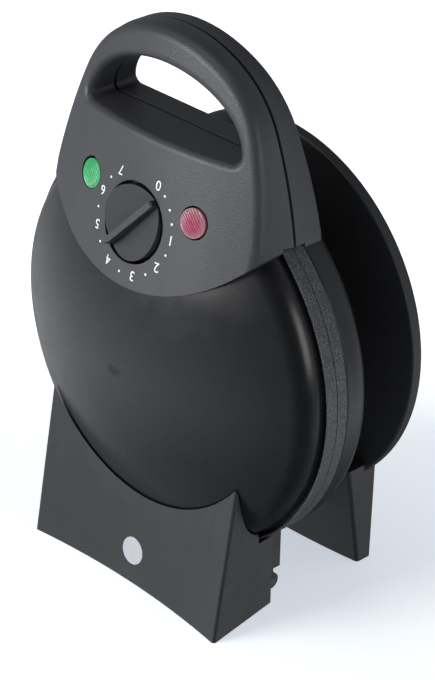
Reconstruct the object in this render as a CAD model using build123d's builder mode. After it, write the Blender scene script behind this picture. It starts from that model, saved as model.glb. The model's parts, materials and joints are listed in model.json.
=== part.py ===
from build123d import *
import os
from math import asin, cos, degrees, pi, radians, sin, tan

# Donut maker, closed and stood upright on its hinge end.
# World frame: +Z up, X left to right, the lid faces -Y. The origin is on the floor under the
# middle of the object. Two local frames share the plate centre on the split plane: in FRONT
# local z points out through the lid, in BACK it points out through the base.
# In both, local y is up, so "depth" below always means a distance from the split plane.

# ---- whole object, millimetres
PLATE_RADIUS = 105.0
AXIS_HEIGHT = 127.5
FRONT_REACH = 45.3
BACK_REACH = 74.0
SPLIT_Y = (FRONT_REACH - BACK_REACH) / 2
WALL = 2.5
SKIN = 2.0
BODY_GAP = 0.8

# ---- baking plates
RIM_DEPTH = 6.2
FACE_GAP = 0.2
LIP = 1.0
GROOVE_DEPTH = 4.0
GROOVE_FLOOR_RADIUS = 97.0
WEB_DEPTH = 4.2
RING_CIRCLE = 62.0
RING_OUTER = 28.5
RING_CORE = 9.0
RING_DEPTH = 11.0
POCKET_WALL = 3.0
POCKET_BACK = RING_DEPTH + 3.4

# ---- covers: rim radius, straight wall, shoulder radius, crown depth
LID_DOME = (101.5, 5.6, 15.5, FRONT_REACH)
BASE_DOME = (104.6, 14.0, 10.5, 54.0)
LID_DOME_EDGE = 2.4
FOOT_CLEARANCE = 0.8
RIM_CLEARANCE = 1.8

# ---- handle arch: three tangent arcs a side, radius and turn in degrees
ARCH_TOP = 164.0
ARCH_ARCS = ((75.5, 30), (52.5, 38), (210.0, 14))
LID_GRIP_DRAFT = 9
SLOT_HALF_WIDTH = 51.0
SLOT_HEIGHT = 32.0
SLOT_FLOOR = 115.0
SLOT_CORNER = 3.0
BACK_GRIP_DEPTH = 19.5
BACK_GRIP_LEAN = 6.0
BACK_GRIP_FOOT = 75.5
COVER_THICKNESS = 2.5

# ---- control panel face: part of a large cylinder that leans back
PANEL_LEAN = 13.8
PANEL_CURVE = 224.0
PANEL_FOOT_RADIUS = 95.5
PANEL_FOOT_CENTRE = 138.6
KNOB_HEIGHT = 73.5
KNOB_DEPTH = 33.7
KNOB_RADIUS = 18.0
KNOB_PROUD = 2.2
KNOB_FIN_PROUD = 4.4
KNOB_UNDERSIDE = 5.5
RECESS_RADIUS = 19.7
RECESS_DEPTH = 7.0
POINTER_ANGLE = -131.0
SPINDLE_RADIUS = 3.0
LAMP_X = 35.8
LAMP_HEIGHT = 84.7
LENS_RADIUS = 7.1
LENS_HOLE = 8.0
CREASE_RADIUS = 6.0
SLOT_ROUND = 4.0
BUSH_RADIUS = 5.0

# ---- screws
SCREW_RADIUS = 1.5
SCREW_HEAD = 2.8
HEAD_HEIGHT = 1.2
SCREW_LENGTH = 9.0
SCREW_BOSS = 4.0
GRIP_SCREWS = ((61.0, 104.0), (-61.0, 104.0), (20.0, 153.5), (-20.0, 153.5))
THERMOSTAT_SCREW = 9.0
BACK_ROUND = 4.0

# ---- heating parts
TUBE_RADIUS = 3.2
ELEMENT_CIRCLE = 62.0
TERMINAL_RADIUS = 2.0
TERMINAL_LENGTH = 9.0
SHEET = 0.8
SHIELD_LEG = 3.0
SHIELD_LEG_CIRCLE = 30.0
SHIELD_NOTCH_WIDTH = 34.0
SHIELD_NOTCH_DEPTH = 20.0
LID_SHIELD_DEPTH = 23.5
BASE_SHIELD_DEPTH = 26.0
TIE_RADIUS = 4.0

# ---- thermostat, spindle and knob details
THERMOSTAT_SIZE = (24.0, 20.0, 7.0)
THERMOSTAT_SCREW_LENGTH = 7.0
TAB_WIDTH = 4.0
TAB_LENGTH = 9.0
RUNNING_CLEARANCE = 0.05
SPINDLE_DEPTH = 5.3
KNOB_BORE_TOP = -2.5
HUB_DEPTH = 6.7
HUB_RADIUS = 5.0
SCOOP_FLOOR = -1.0
FIN_HALF = 1.5
FIN_TAIL = 17.2
FIN_TIP = 19.5
FIN_TIP_CLEARANCE = 1.0

# ---- lamps
LENS_BACK = 3.9
LENS_PROUD = 0.5
LENS_FLANGE = 9.2
LENS_FLANGE_THICKNESS = 1.2
LAMP_BACK = 9.0
BULB_RADIUS = 2.2

# ---- front foot, depths from the split plane and heights from the floor
FOOT_TOE = 40.6
FOOT_TOE_HALF = 68.0
FOOT_WAIST = 35.5
FOOT_HEEL = 4.7
FOOT_HEEL_HALF = 61.1
FOOT_LEAN = 0.161
FOOT_TOP = 84.0
FOOT_WALL = 3.0
FOOT_ROUND = 1.5
FOOT_SCREWS = ((28.0, SPLIT_Y - 4.0), (-28.0, SPLIT_Y - 4.0))
BADGE_RADIUS = 7.3
BADGE_THICKNESS = 1.2
BADGE_PROUD = 0.4
BADGE_HEIGHT = 17.0

# ---- rear foot
BF_TOE = 62.6
BF_TOE_MID = 58.0
BF_HALF = 65.0
BF_HEEL = 73.0
BF_HEEL_MID = 68.2
BF_TOP = 63.5
BF_TOP_TOE = 46.2
BF_TOP_HALF = 71.0
BF_TOP_HEEL = 66.6
BF_HOLLOW_TOP = 58.0
BF_ROUND = 2.0
BF_PADS = ((52.0, -90.0), (-52.0, -90.0))
BF_PAD_SEAT = 66.6
BF_SCREWS = ((38.0, -80.0), (-38.0, -80.0))
BF_SCREW_SEAT = 65.7
BF_SCREW_LENGTH = 6.2

# ---- base disc and what joins it to the lower half
DISC_RADIUS = 98.0
DISC_FRONT = 58.2
DISC_THICKNESS = 6.4
COLUMN_RADIUS = 38.0
COLUMN_NEAR = 44.0
COLUMN_SCREW_CIRCLE = 30.0
COLUMN_BOSS = 5.0
DISC_ROUND = 1.0
DISC_RINGS = (72.0,)
DISC_SPOKES = 12
RIB = 2.0
PILLARS = ((48.0, 55.0), (-48.0, 55.0))
PILLAR_RADIUS = 9.0
PAD_RADIUS = 8.0
PAD_THICKNESS = 1.5

# ---- cord gland and the parts behind the lower heat shield
GLAND_DEPTH = 31.0
GLAND_BOTTOM = 23.5
GLAND_LENGTH = 22.5
GLAND_RADIUS = 7.0
GLAND_COLLAR = 9.0
CORD_BORE = 3.6
TERMINAL_BLOCK_Y = -45.0
TERMINAL_BLOCK_SIZE = (40.0, 16.0, 12.0)
FUSE_Y = 25.0
FUSE_RADIUS = 2.0
FUSE_LENGTH = 14.0
LEAD_RADIUS = 1.2

# ---- lid hinge
HINGE_DEPTH = 12.1
HINGE_HEIGHT = 5.8
BARREL_RADIUS = 4.5
PIN_RADIUS = 2.0
PIN_BORE = 2.05
BRACKET_HALF = 54.0
EAR_INNER = 36.0
ARM_OUTER = 35.6
ARM_INNER = 20.0
ARM_REACH = 8.0
ARM_TOP = 9.0
BRACKET_NEAR = 7.0
BRACKET_FAR = 17.6
BRACKET_BOTTOM = 13.0

CENTRE = (0, SPLIT_Y, AXIS_HEIGHT)
FRONT = Plane(origin=CENTRE, x_dir=(1, 0, 0), z_dir=(0, -1, 0))
BACK = Plane(origin=CENTRE, x_dir=(-1, 0, 0), z_dir=(0, 1, 0))

os.makedirs("parts", exist_ok=True)


def save(piece, name):
    """Label a finished piece and write it as one STEP file."""
    piece.label = name
    export_step(piece, f"parts/{name}.step")


def section_plane(side):
    """Plane through the plate axis: local x is the radius, local y the depth."""
    return Plane(origin=side.origin, x_dir=side.x_dir, z_dir=side.x_dir.cross(side.z_dir))


def plate_axis(side):
    return Axis(side.origin, side.z_dir)


def dome_core(side, dome, base, grow=0.0):
    """Filled dome: a straight wall, a rolled shoulder and a shallow crown, grown all round."""
    rim, wall, shoulder, apex = dome
    run = rim - shoulder
    rise = apex - wall
    crown = (run**2 + rise**2 - shoulder**2) / (2 * (rise - shoulder))
    turn = degrees(asin(run / (crown - shoulder)))
    with BuildPart() as core:
        with BuildSketch(section_plane(side)):
            with BuildLine():
                side_wall = Polyline((0, base), (rim + grow, base), (rim + grow, wall))
                roll = JernArc(side_wall @ 1, (0, 1), shoulder + grow, 90 - turn)
                top = JernArc(roll @ 1, roll % 1, crown + grow, turn)
                Line(top @ 1, (0, base))
            make_face()
        revolve(axis=plate_axis(side))
    return core.part


def drum(side, radius, near, far):
    """Plain cylinder on the plate axis between two depths."""
    with BuildPart() as tool:
        with BuildSketch(side.offset(near)):
            Circle(radius)
        extrude(amount=far - near)
    return tool.part


def arch_face(plane, inset, foot):
    """The handle's outline, an arch with straight lower sides down to foot."""
    with BuildSketch(plane) as sketch:
        with BuildLine():
            (r1, a1), (r2, a2), (r3, a3) = ARCH_ARCS
            crown = JernArc((0, ARCH_TOP - inset), (1, 0), r1 - inset, -a1)
            hip = JernArc(crown @ 1, crown % 1, r2 - inset, -a2)
            side = JernArc(hip @ 1, hip % 1, r3 - inset, -a3)
            Polyline(side @ 1, ((side @ 1).X, foot), (0, foot))
            mirror(about=Plane.YZ)
        make_face()
    return sketch.sketch


def slot_face(plane, grow=0.0):
    """The finger slot: half an ellipse over a straight floor, with small corner radii."""
    half = SLOT_HALF_WIDTH + grow
    top = SLOT_HEIGHT + 2 * grow
    with BuildSketch(plane) as sketch:
        with Locations((0, SLOT_FLOOR - grow)):
            Ellipse(half, top)
            Rectangle(3 * half, 2 * top, align=(Align.CENTER, Align.MAX), mode=Mode.SUBTRACT)
        fillet(sketch.vertices(), SLOT_CORNER)
    return sketch.sketch


def panel_plane(x=0.0, height=KNOB_HEIGHT):
    """Plane that touches the panel face at a place; its normal points out of the face."""
    lean = radians(PANEL_LEAN)
    turn = asin(x / PANEL_CURVE)
    slide = (height - KNOB_HEIGHT + PANEL_CURVE * sin(lean) * (1 - cos(turn))) / cos(lean)
    sag = PANEL_CURVE * (1 - cos(turn))
    depth = KNOB_DEPTH - slide * sin(lean) - sag * cos(lean)
    origin = FRONT.from_local_coords((x, height, depth))
    normal = (sin(turn), -cos(turn) * cos(lean), cos(turn) * sin(lean))
    across = (cos(turn), sin(turn) * cos(lean), -sin(turn) * sin(lean))
    return Plane(origin=origin, x_dir=across, z_dir=normal)


def face_cylinder(inset=0.0):
    """The large leaning cylinder whose front is the panel face."""
    plane = panel_plane()
    centre = plane.from_local_coords((0, 0, -PANEL_CURVE))
    with BuildPart() as tool:
        with BuildSketch(Plane(origin=centre, x_dir=(1, 0, 0), z_dir=plane.y_dir)):
            Circle(PANEL_CURVE - inset)
        extrude(amount=150, both=True)
    return tool.part


def lid_grip_block(inset, near):
    """Panel and front half of the handle, before the dome and the plates are cut away."""
    with BuildPart() as block:
        extrude(arch_face(FRONT.offset(near), inset, 30), amount=50, taper=LID_GRIP_DRAFT)
        add(face_tools[inset], mode=Mode.INTERSECT)
        face = block.faces().filter_by(GeomType.CYLINDER).sort_by(SortBy.AREA)[-1]
        crease = face.edges().sort_by(Axis.Z)[1:]
        fillet(crease, CREASE_RADIUS - inset)
        with BuildSketch(FRONT):
            with Locations((0, PANEL_FOOT_CENTRE)):
                Circle(PANEL_FOOT_RADIUS - inset)
        extrude(amount=60, mode=Mode.INTERSECT)
    return block.part


def back_grip_block(inset, near):
    """Rear half of the handle, thinner towards its top."""
    rise = ARCH_TOP - BACK_GRIP_FOOT
    foot_y = SPLIT_Y + BACK_GRIP_DEPTH - inset
    top_y = foot_y - rise * tan(radians(BACK_GRIP_LEAN))
    with BuildPart() as block:
        extrude(arch_face(BACK.offset(near), inset, BACK_GRIP_FOOT + inset), amount=BACK_GRIP_DEPTH)
        with BuildSketch(Plane.YZ.offset(-PLATE_RADIUS)):
            with BuildLine():
                foot_z = AXIS_HEIGHT + BACK_GRIP_FOOT
                Polyline(
                    (SPLIT_Y, foot_z),
                    (foot_y, foot_z),
                    (top_y, foot_z + rise),
                    (SPLIT_Y, foot_z + rise),
                    close=True,
                )
            make_face()
        extrude(amount=2 * PLATE_RADIUS, mode=Mode.INTERSECT)
    return block.part


face_tools = {0.0: face_cylinder(), WALL: face_cylinder(WALL)}
lid_dome_solid = dome_core(FRONT, LID_DOME, 0)
base_dome_solid = dome_core(BACK, BASE_DOME, 0)
rim_space = drum(FRONT, PLATE_RADIUS + RIM_CLEARANCE, -RIM_DEPTH - 0.3, RIM_DEPTH + 0.3)
rim_guard = drum(FRONT, PLATE_RADIUS + RIM_CLEARANCE + WALL, -RIM_DEPTH - WALL, RIM_DEPTH + WALL)


# ---- lid cover: a domed shell with a window for the control recess and two lamp holes
lid_dome_inside = dome_core(FRONT, LID_DOME, LID_DOME_EDGE - 1, grow=-SKIN)
with BuildPart() as lid_cover:
    add(lid_dome_solid)
    add(lid_dome_inside, mode=Mode.SUBTRACT)
    with BuildSketch(FRONT):
        Circle(PLATE_RADIUS)
    extrude(amount=LID_DOME_EDGE, mode=Mode.SUBTRACT)
    with BuildSketch(panel_plane()):
        Circle(RECESS_RADIUS + SKIN + 1)
    extrude(amount=-20, mode=Mode.SUBTRACT)
    with BuildSketch(panel_plane(LAMP_X, LAMP_HEIGHT), panel_plane(-LAMP_X, LAMP_HEIGHT)):
        Circle(LENS_HOLE)
    extrude(amount=-25, mode=Mode.SUBTRACT)
save(lid_cover.part, "lid_cover")


# ---- control panel and front half of the handle, one moulding with a hollow back
panel_block = lid_grip_block(0.0, BODY_GAP)
panel_hollow = lid_grip_block(WALL, BODY_GAP)
with BuildPart() as panel_cavity:
    add(panel_hollow)
    add(rim_guard, mode=Mode.SUBTRACT)
    extrude(slot_face(FRONT, WALL), amount=60, mode=Mode.SUBTRACT)
    with BuildSketch(panel_plane()):
        Circle(RECESS_RADIUS + SKIN)
    extrude(amount=-RECESS_DEPTH - SKIN, mode=Mode.SUBTRACT)
    with BuildSketch(FRONT):
        with Locations(*GRIP_SCREWS):
            Circle(SCREW_BOSS)
    extrude(amount=60, mode=Mode.SUBTRACT)

with BuildPart() as control_panel:
    add(panel_block)
    add(lid_dome_solid, mode=Mode.SUBTRACT)
    add(rim_space, mode=Mode.SUBTRACT)
    extrude(slot_face(FRONT), amount=60, mode=Mode.SUBTRACT)
    face = control_panel.faces().filter_by(GeomType.CYLINDER).sort_by(SortBy.AREA)[-1]
    fillet(face.inner_wires()[0].edges(), SLOT_ROUND)
    add(panel_cavity.part, mode=Mode.SUBTRACT)
    with BuildSketch(panel_plane()):
        Circle(RECESS_RADIUS)
    extrude(amount=-RECESS_DEPTH, mode=Mode.SUBTRACT)
    with BuildSketch(panel_plane()):
        Circle(BUSH_RADIUS)
    extrude(amount=-RECESS_DEPTH - SKIN, mode=Mode.SUBTRACT)
    with BuildSketch(panel_plane(LAMP_X, LAMP_HEIGHT), panel_plane(-LAMP_X, LAMP_HEIGHT)):
        Circle(LENS_HOLE)
    extrude(amount=-WALL - 2, mode=Mode.SUBTRACT)
    with BuildSketch(FRONT):
        with Locations(*GRIP_SCREWS):
            Circle(SCREW_BOSS)
    extrude(amount=BODY_GAP + COVER_THICKNESS, mode=Mode.SUBTRACT)
    with BuildSketch(FRONT):
        with Locations(*GRIP_SCREWS):
            Circle(SCREW_RADIUS)
    extrude(amount=BODY_GAP + SCREW_LENGTH, mode=Mode.SUBTRACT)
    with BuildSketch(panel_plane()):
        with Locations((THERMOSTAT_SCREW, 0), (-THERMOSTAT_SCREW, 0)):
            Circle(SCREW_RADIUS)
    extrude(amount=-RECESS_DEPTH - SKIN, mode=Mode.SUBTRACT)
save(control_panel.part, "control_panel")


def grip_cover(side):
    """Flat plate that closes one half of the handle at the split."""
    edge = WALL + 0.5
    with BuildPart() as cover:
        extrude(arch_face(side.offset(BODY_GAP), edge, BACK_GRIP_FOOT + 1), amount=COVER_THICKNESS)
        extrude(slot_face(side, WALL + 0.3), amount=20, mode=Mode.SUBTRACT)
        add(rim_guard, mode=Mode.SUBTRACT)
        with BuildSketch(side):
            with Locations(*GRIP_SCREWS):
                Circle(SCREW_RADIUS)
        extrude(amount=20, mode=Mode.SUBTRACT)
        with BuildSketch(side.offset(BODY_GAP)):
            with Locations(*GRIP_SCREWS):
                Circle(SCREW_HEAD)
        extrude(amount=HEAD_HEIGHT, mode=Mode.SUBTRACT)
    return cover.part


def screws(plane, places, length):
    """A group of equal screws: local z runs from the tip to the top of the head."""
    with BuildPart() as group:
        with BuildSketch(plane):
            with Locations(*places):
                Circle(SCREW_HEAD)
        extrude(amount=-HEAD_HEIGHT)
        with BuildSketch(plane):
            with Locations(*places):
                Circle(SCREW_RADIUS)
        extrude(amount=-length)
        with BuildSketch(plane):
            with Locations(*places):
                Rectangle(SCREW_HEAD * 1.3, 0.6)
                Rectangle(0.6, SCREW_HEAD * 1.3)
        extrude(amount=-HEAD_HEIGHT / 2, mode=Mode.SUBTRACT)
    return group.part


def facing_in(side, depth):
    """Plane at a depth whose normal points back to the split."""
    return Plane(origin=side.offset(depth).origin, x_dir=side.x_dir, z_dir=-side.z_dir)


save(grip_cover(FRONT), "lid_grip_cover")
save(grip_cover(BACK), "base_grip_cover")
flipped = [(x, -y) for x, y in GRIP_SCREWS]
save(screws(facing_in(FRONT, BODY_GAP), flipped, SCREW_LENGTH), "lid_grip_screws")
save(screws(facing_in(BACK, BODY_GAP), flipped, SCREW_LENGTH), "base_grip_screws")


# ---- rear half of the handle, saddled on the base cover
base_grip_hollow = back_grip_block(WALL, BODY_GAP)
with BuildPart() as base_grip_cavity:
    add(base_grip_hollow)
    add(rim_guard, mode=Mode.SUBTRACT)
    extrude(slot_face(BACK, WALL), amount=60, mode=Mode.SUBTRACT)
    with BuildSketch(BACK):
        with Locations(*GRIP_SCREWS):
            Circle(SCREW_BOSS)
    extrude(amount=60, mode=Mode.SUBTRACT)

base_grip_block = back_grip_block(0.0, BODY_GAP)
with BuildPart() as base_grip:
    add(base_grip_block)
    back = base_grip.faces().sort_by(Axis.Y)[-1]
    fillet(back.edges().sort_by(Axis.Z)[1:], BACK_ROUND)
    extrude(slot_face(BACK), amount=60, mode=Mode.SUBTRACT)
    back = base_grip.faces().filter_by(GeomType.PLANE).sort_by(Axis.Y)[-1]
    fillet(back.inner_wires()[0].edges(), BACK_ROUND - 1)
    add(base_dome_solid, mode=Mode.SUBTRACT)
    add(rim_space, mode=Mode.SUBTRACT)
    add(base_grip_cavity.part, mode=Mode.SUBTRACT)
    with BuildSketch(BACK):
        with Locations(*GRIP_SCREWS):
            Circle(SCREW_BOSS)
    extrude(amount=BODY_GAP + COVER_THICKNESS, mode=Mode.SUBTRACT)
    with BuildSketch(BACK):
        with Locations(*GRIP_SCREWS):
            Circle(SCREW_RADIUS)
    extrude(amount=BODY_GAP + SCREW_LENGTH, mode=Mode.SUBTRACT)
save(base_grip.part, "base_grip")


# ---- baking plates with seven ring pockets each
def ring_places():
    around = [(RING_CIRCLE * cos(i * pi / 3), RING_CIRCLE * sin(i * pi / 3)) for i in range(6)]
    return [(0.0, 0.0)] + around


def baking_plate(side, grooved):
    """Cast plate: rim, thin web and a round boss behind each ring pocket."""
    floor = RIM_DEPTH - GROOVE_DEPTH
    with BuildPart() as plate:
        with BuildSketch(section_plane(side)):
            with BuildLine():
                if grooved:
                    Polyline(
                        (0, FACE_GAP),
                        (PLATE_RADIUS, FACE_GAP),
                        (PLATE_RADIUS, RIM_DEPTH),
                        (PLATE_RADIUS - LIP, RIM_DEPTH),
                        (PLATE_RADIUS - LIP, floor),
                        (GROOVE_FLOOR_RADIUS, floor),
                        (GROOVE_FLOOR_RADIUS, WEB_DEPTH),
                        (0, WEB_DEPTH),
                        close=True,
                    )
                else:
                    Polyline(
                        (0, FACE_GAP),
                        (PLATE_RADIUS, FACE_GAP),
                        (PLATE_RADIUS, RIM_DEPTH),
                        (GROOVE_FLOOR_RADIUS, RIM_DEPTH),
                        (GROOVE_FLOOR_RADIUS, WEB_DEPTH),
                        (0, WEB_DEPTH),
                        close=True,
                    )
            make_face()
        revolve(axis=plate_axis(side))
        with BuildSketch(side.offset(FACE_GAP)):
            with Locations(*ring_places()):
                Circle(RING_OUTER + POCKET_WALL)
        extrude(amount=POCKET_BACK - FACE_GAP)
        with BuildSketch(side.offset(WEB_DEPTH)):
            with Locations(*ring_places()[1:]):
                Circle(RING_CORE - POCKET_WALL)
        extrude(amount=POCKET_BACK, mode=Mode.SUBTRACT)
        for x, y in ring_places():
            middle = side.from_local_coords((x, y, FACE_GAP))
            section = Plane(origin=middle, x_dir=side.x_dir, z_dir=side.x_dir.cross(side.z_dir))
            with BuildSketch(section):
                with Locations(((RING_OUTER + RING_CORE) / 2, 0)):
                    Ellipse((RING_OUTER - RING_CORE) / 2, RING_DEPTH)
            revolve(axis=Axis(middle, side.z_dir), mode=Mode.SUBTRACT)
    return plate.part


save(baking_plate(FRONT, grooved=True), "upper_plate")
save(baking_plate(BACK, grooved=False), "lower_plate")


# ---- heating elements, heat shields and tie posts
def direction(side, angle):
    turn = radians(angle)
    return side.x_dir * cos(turn) + side.y_dir * sin(turn)


def terminal_places(gap_angle):
    """Where the two ends of an element lie, 30 degrees each side of its gap."""
    turns = [radians(gap_angle + step) for step in (30, -30)]
    return [(ELEMENT_CIRCLE * cos(turn), ELEMENT_CIRCLE * sin(turn)) for turn in turns]


def heating_element(side, gap_angle):
    """Tubular ring open for a sixth of a turn, with a terminal at each end."""
    depth = POCKET_BACK + TUBE_RADIUS
    start = direction(side, gap_angle + 30)
    with BuildPart() as element:
        with BuildSketch(Plane(origin=side.origin, x_dir=start, z_dir=start.cross(side.z_dir))):
            with Locations((ELEMENT_CIRCLE, depth)):
                Circle(TUBE_RADIUS)
        revolve(axis=plate_axis(side), revolution_arc=300)
        with BuildSketch(side.offset(depth)):
            with Locations(*terminal_places(gap_angle)):
                Circle(TERMINAL_RADIUS)
        extrude(amount=TERMINAL_LENGTH)
    return element.part


def heat_shield(side, radius, depth, gap_angle):
    """Sheet disc on three short legs that stand on the plate's bosses."""
    with BuildPart() as shield:
        with BuildSketch(side.offset(depth)):
            Circle(radius)
        extrude(amount=SHEET)
        with BuildSketch(side.offset(POCKET_BACK)):
            with PolarLocations(SHIELD_LEG_CIRCLE, 3, start_angle=90):
                Circle(SHIELD_LEG)
        extrude(amount=depth - POCKET_BACK)
        with BuildSketch(side.offset(POCKET_BACK)):
            Circle(TIE_RADIUS)
        extrude(amount=depth, mode=Mode.SUBTRACT)
        with BuildSketch(side.offset(depth)):
            with Locations((0, radius)):
                Rectangle(SHIELD_NOTCH_WIDTH, 2 * SHIELD_NOTCH_DEPTH)
            with Locations(*terminal_places(gap_angle)):
                Circle(2 * TERMINAL_RADIUS)
        extrude(amount=SHEET, mode=Mode.SUBTRACT)
    return shield.part


def tie_post(side, far):
    """Central threaded post that ties a plate to its cover."""
    with BuildPart() as post:
        with BuildSketch(side.offset(POCKET_BACK)):
            Circle(TIE_RADIUS)
        extrude(amount=far - POCKET_BACK)
    return post.part


save(heating_element(FRONT, 90), "upper_element")
save(heating_element(BACK, -90), "lower_element")
save(heat_shield(FRONT, 70, LID_SHIELD_DEPTH, 90), "lid_heat_shield")
save(heat_shield(BACK, 80, BASE_SHIELD_DEPTH, -90), "base_heat_shield")
save(tie_post(FRONT, FRONT_REACH - SKIN - 0.2), "lid_tie_post")
save(tie_post(BACK, BASE_DOME[3] - WALL - 0.2), "base_tie_post")


# ---- thermostat behind the control recess, its spindle, and the knob
DIAL = panel_plane()
pointer_turn = radians(POINTER_ANGLE)
POINTER = Plane(
    origin=DIAL.origin,
    x_dir=DIAL.x_dir * cos(pointer_turn) + DIAL.y_dir * sin(pointer_turn),
    z_dir=DIAL.z_dir,
)
seat = -RECESS_DEPTH - SKIN

with BuildPart() as thermostat:
    with BuildSketch(DIAL.offset(seat)):
        RectangleRounded(*THERMOSTAT_SIZE[:2], 2)
    extrude(amount=-THERMOSTAT_SIZE[2])
    with BuildSketch(DIAL.offset(seat)):
        Circle(BUSH_RADIUS - 0.1)
    extrude(amount=SKIN)
    with BuildSketch(DIAL.offset(seat - THERMOSTAT_SIZE[2] / 2)):
        with Locations((0, -THERMOSTAT_SIZE[1] / 2), (6, -THERMOSTAT_SIZE[1] / 2)):
            Rectangle(TAB_WIDTH, TAB_LENGTH)
    extrude(amount=SHEET)
    with BuildSketch(DIAL):
        Circle(SPINDLE_RADIUS + RUNNING_CLEARANCE)
    extrude(amount=seat - SPINDLE_DEPTH, mode=Mode.SUBTRACT)
    with BuildSketch(DIAL):
        with Locations((THERMOSTAT_SCREW, 0), (-THERMOSTAT_SCREW, 0)):
            Circle(SCREW_RADIUS)
    extrude(amount=-RECESS_DEPTH + HEAD_HEIGHT - THERMOSTAT_SCREW_LENGTH, mode=Mode.SUBTRACT)
save(thermostat.part, "thermostat")
screw_places = [(THERMOSTAT_SCREW, 0), (-THERMOSTAT_SCREW, 0)]
head_plane = DIAL.offset(HEAD_HEIGHT - RECESS_DEPTH)
save(screws(head_plane, screw_places, THERMOSTAT_SCREW_LENGTH), "thermostat_screws")

with BuildPart() as knob_spindle:
    with BuildSketch(DIAL.offset(KNOB_BORE_TOP)):
        Circle(SPINDLE_RADIUS)
    extrude(amount=seat - SPINDLE_DEPTH + 0.3 - KNOB_BORE_TOP)
save(knob_spindle.part, "knob_spindle")

# A round body with two half faces that fall towards a raised pointer fin.
with BuildPart() as pointer_fin:
    with BuildSketch(Plane(origin=POINTER.origin, x_dir=POINTER.x_dir, z_dir=-POINTER.y_dir)):
        with BuildLine():
            Polyline(
                (-FIN_TAIL, SCOOP_FLOOR - 1),
                (KNOB_RADIUS - 0.5, SCOOP_FLOOR - 1),
                (KNOB_RADIUS - 0.5, FIN_TIP_CLEARANCE),
                (FIN_TIP, FIN_TIP_CLEARANCE),
                (FIN_TIP, KNOB_FIN_PROUD),
                (-FIN_TAIL, KNOB_PROUD + 0.4),
                close=True,
            )
        make_face()
    extrude(amount=FIN_HALF, both=True)
    with BuildSketch(POINTER):
        with BuildLine():
            Polyline(
                (-FIN_TAIL, FIN_HALF),
                (-FIN_TAIL, -FIN_HALF),
                (FIN_TIP - 5, -FIN_HALF),
                (FIN_TIP, -0.3),
                (FIN_TIP, 0.3),
                (FIN_TIP - 5, FIN_HALF),
                close=True,
            )
        make_face()
    extrude(amount=10, both=True, mode=Mode.INTERSECT)

with BuildPart() as knob:
    with BuildSketch(DIAL.offset(-KNOB_UNDERSIDE)):
        Circle(KNOB_RADIUS)
    extrude(amount=KNOB_UNDERSIDE + KNOB_PROUD)
    with BuildSketch(Plane(origin=POINTER.origin, x_dir=POINTER.y_dir, z_dir=POINTER.x_dir)):
        with BuildLine():
            Polyline(
                (FIN_HALF, SCOOP_FLOOR),
                (KNOB_RADIUS, KNOB_PROUD),
                (KNOB_RADIUS, 2 * KNOB_FIN_PROUD),
                (FIN_HALF, 2 * KNOB_FIN_PROUD),
                close=True,
            )
        make_face()
        mirror(about=Plane.YZ)
    extrude(amount=2 * KNOB_RADIUS, both=True, mode=Mode.SUBTRACT)
    add(pointer_fin.part)
    with BuildSketch(DIAL.offset(-HUB_DEPTH)):
        Circle(HUB_RADIUS)
    extrude(amount=HUB_DEPTH - KNOB_UNDERSIDE)
    with BuildSketch(DIAL.offset(-HUB_DEPTH)):
        Circle(SPINDLE_RADIUS)
    extrude(amount=HUB_DEPTH + KNOB_BORE_TOP, mode=Mode.SUBTRACT)
save(knob.part, "knob")


# ---- indicator lamps: a clear cap in the panel and a small bulb behind it
def lens(plane):
    with BuildPart() as cap:
        with BuildSketch(plane.offset(-LENS_BACK)):
            Circle(LENS_RADIUS)
        extrude(amount=LENS_BACK + LENS_PROUD)
        rim = cap.edges().filter_by(GeomType.CIRCLE).sort_by(Axis(plane.origin, plane.z_dir))[-1]
        fillet(rim, LENS_PROUD)
        with BuildSketch(plane.offset(-LENS_BACK)):
            Circle(LENS_FLANGE)
        extrude(amount=LENS_FLANGE_THICKNESS)
        with BuildSketch(plane.offset(-LENS_BACK)):
            Circle(LENS_RADIUS - 1.2)
        extrude(amount=LENS_BACK - 1, mode=Mode.SUBTRACT)
    return cap.part


left_lamp = panel_plane(-LAMP_X, LAMP_HEIGHT)
right_lamp = panel_plane(LAMP_X, LAMP_HEIGHT)
save(lens(left_lamp), "green_lens")
save(lens(right_lamp), "red_lens")
with BuildPart() as indicator_lamps:
    for plane in (left_lamp, right_lamp):
        with BuildSketch(plane.offset(-LAMP_BACK)):
            Circle(BULB_RADIUS * 2)
        extrude(amount=1.5)
        with BuildSketch(plane.offset(-LAMP_BACK)):
            Circle(BULB_RADIUS)
        extrude(amount=LAMP_BACK - 2)
save(indicator_lamps.part, "indicator_lamps")


# ---- front foot, hung on the lid: a hollow wedge with a hollowed front face
def foot_block(levels):
    """Ruled loft through outlines, each one a height and four depths with two half widths."""
    with BuildPart() as block:
        for height, toe, toe_mid, toe_half, heel, heel_mid, heel_half in levels:
            with BuildSketch(Plane.XY.offset(height)):
                with BuildLine():
                    toe_corner = (toe_half, SPLIT_Y + toe)
                    heel_corner = (heel_half, SPLIT_Y + heel)
                    Line(toe_corner, heel_corner)
                    Line((-toe_half, SPLIT_Y + toe), (-heel_half, SPLIT_Y + heel))
                    if heel == heel_mid:
                        Line(heel_corner, (-heel_half, SPLIT_Y + heel))
                    else:
                        ThreePointArc(heel_corner, (0, SPLIT_Y + heel_mid), (-heel_half, SPLIT_Y + heel))
                    if toe == toe_mid:
                        Line(toe_corner, (-toe_half, SPLIT_Y + toe))
                    else:
                        ThreePointArc(toe_corner, (0, SPLIT_Y + toe_mid), (-toe_half, SPLIT_Y + toe))
                make_face()
        loft(ruled=True)
    return block.part


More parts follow.
